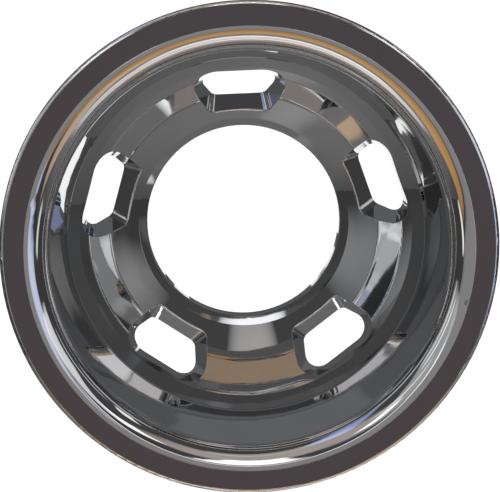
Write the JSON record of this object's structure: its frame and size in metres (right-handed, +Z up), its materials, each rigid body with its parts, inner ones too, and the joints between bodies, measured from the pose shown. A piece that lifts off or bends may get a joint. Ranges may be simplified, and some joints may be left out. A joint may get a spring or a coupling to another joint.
{
  "type": "truck wheel simulator",
  "caption": "Deep polished wheel simulator: a one-piece liner that covers the hollow face of a dual truck wheel, with flanged hand holes and an open hub.",
  "frame": {"origin": "on the wheel axis, where the hub cone has rolled into the centre collar", "axes": "+Y runs along the wheel axis towards the truck, so the hollow face looks to -Y; +Z is up"},
  "size_m": [0.438, 0.221, 0.438],
  "materials": {
    "polished_steel": "mirror polish, with a dark satin band round the lip"
  },
  "bodies": {
    "root": {"wheel_liner": "polished_steel"}
  },
  "joints": []
}
